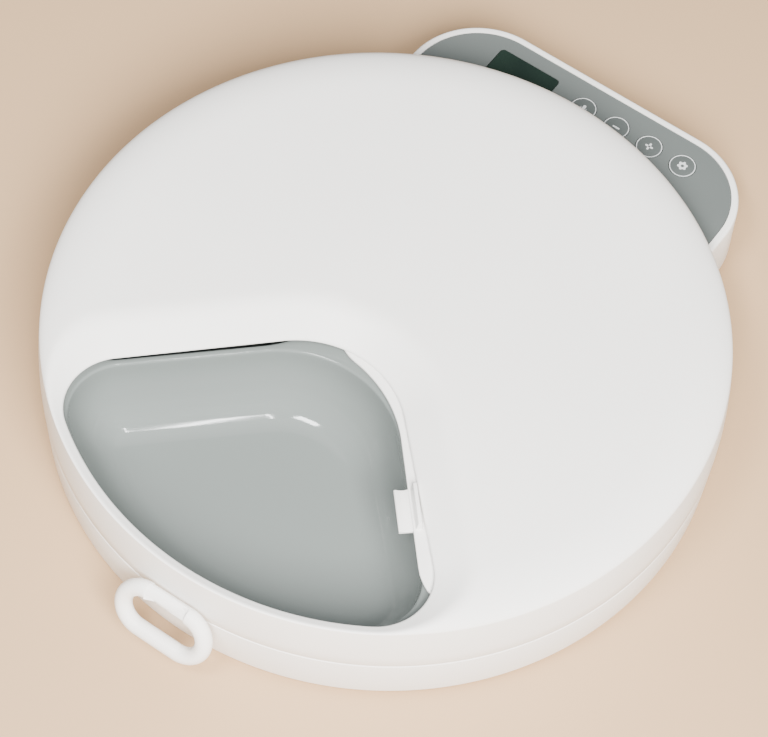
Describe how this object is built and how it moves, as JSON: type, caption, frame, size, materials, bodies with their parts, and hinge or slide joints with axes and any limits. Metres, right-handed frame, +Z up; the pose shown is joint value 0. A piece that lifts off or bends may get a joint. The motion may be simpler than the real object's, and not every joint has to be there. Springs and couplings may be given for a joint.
{
  "type": "automatic pet feeder",
  "caption": "Round automatic pet feeder: motor-turned tray of bowls under a lift-off lid with one serving opening and hand shutter, control panel behind, pull ring in front.",
  "frame": {"origin": "on the turntable axis at floor level, which is the centre of the centre foot's face", "axes": "+Z up along the turntable axis, +Y back towards the control panel, +X to the right when facing the serving opening from the front"},
  "size_m": [0.3006, 0.3494, 0.0615],
  "materials": {
    "white_shell": "satin moulded ABS, warm white",
    "grey_tray": "polished food-safe plastic, pale blue-grey",
    "grey_panel": "satin grey",
    "dark_lens": "tinted display lens",
    "rubber": "soft grey rubber",
    "steel": "plated steel",
    "circuit_board": "green solder mask",
    "black_plastic": "black moulded plastic",
    "inner_plastic": "unpolished white plastic",
    "cell_sleeve": "printed sleeve, plain",
    "magnet_nickel": "nickel plate"
  },
  "bodies": {
    "housing": {"base_housing": "white_shell", "faceplate": "grey_panel", "display_window": "dark_lens", "display_module": "black_plastic", "control_board": "circuit_board", "microphone": "steel", "speaker": "black_plastic", "dc_jack": "black_plastic", "battery_cell_1": "cell_sleeve", "battery_cell_2": "cell_sleeve", "battery_cell_3": "cell_sleeve", "battery_cell_4": "cell_sleeve", "battery_contact_left": "steel", "battery_contact_right": "steel", "gear_motor": "black_plastic", "motor_screw_1": "steel", "motor_screw_2": "steel", "glide_button_1": "black_plastic", "glide_button_2": "black_plastic", "glide_button_3": "black_plastic", "glide_button_4": "black_plastic", "position_sensor": "circuit_board", "foot_rear_right": "rubber", "foot_rear_left": "rubber", "foot_front_left": "rubber", "foot_front_right": "rubber", "foot_centre": "rubber", "switch_1": "black_plastic", "switch_2": "black_plastic", "switch_3": "black_plastic", "switch_4": "black_plastic", "board_screw_1": "steel", "board_screw_2": "steel", "board_screw_3": "steel"},
    "turntable": {"turntable": "inner_plastic", "motor_shaft": "steel", "index_magnet_1": "magnet_nickel", "index_magnet_2": "magnet_nickel", "index_magnet_3": "magnet_nickel", "index_magnet_4": "magnet_nickel", "food_tray": "grey_tray"},
    "lid": {"lid_cover": "white_shell", "ring_barrel": "white_shell", "shutter_washer": "inner_plastic", "shutter_screw": "steel"},
    "shutter": {"shutter": "white_shell"},
    "pull_ring": {"pull_ring": "white_shell"},
    "battery_door": {"battery_door": "white_shell"},
    "key_microphone": {"key_microphone": "grey_panel"},
    "key_minus": {"key_minus": "grey_panel"},
    "key_plus": {"key_plus": "grey_panel"},
    "key_settings": {"key_settings": "grey_panel"}
  },
  "joints": [
    {"name": "turntable_spin", "type": "hinge", "parent": "housing", "child": "turntable", "pos_m": [0, 0, 0.02], "axis": [0, 0, 1], "continuous": true},
    {"name": "lid_lift", "type": "slide", "parent": "housing", "child": "lid", "axis": [0, 0, 1], "range_m": [0, 0.12]},
    {"name": "shutter_turn", "type": "hinge", "parent": "lid", "child": "shutter", "pos_m": [0, 0, 0.05], "axis": [0, 0, 1], "range_deg": [-88.2, 0]},
    {"name": "ring_swing", "type": "hinge", "parent": "lid", "child": "pull_ring", "pos_m": [0, -0.155, 0.036], "axis": [-1, 0, 0], "range_deg": [0, 130]},
    {"name": "battery_door_slide", "type": "slide", "parent": "housing", "child": "battery_door", "axis": [0, 1, 0], "range_m": [0, 0.04]},
    {"name": "key_microphone_press", "type": "slide", "parent": "housing", "child": "key_microphone", "axis": [0, 0, -1], "range_m": [0, 0.0006], "stiffness_N_per_m": 600},
    {"name": "key_minus_press", "type": "slide", "parent": "housing", "child": "key_minus", "axis": [0, 0, -1], "range_m": [0, 0.0006], "stiffness_N_per_m": 600},
    {"name": "key_plus_press", "type": "slide", "parent": "housing", "child": "key_plus", "axis": [0, 0, -1], "range_m": [0, 0.0006], "stiffness_N_per_m": 600},
    {"name": "key_settings_press", "type": "slide", "parent": "housing", "child": "key_settings", "axis": [0, 0, -1], "range_m": [0, 0.0006], "stiffness_N_per_m": 600}
  ]
}
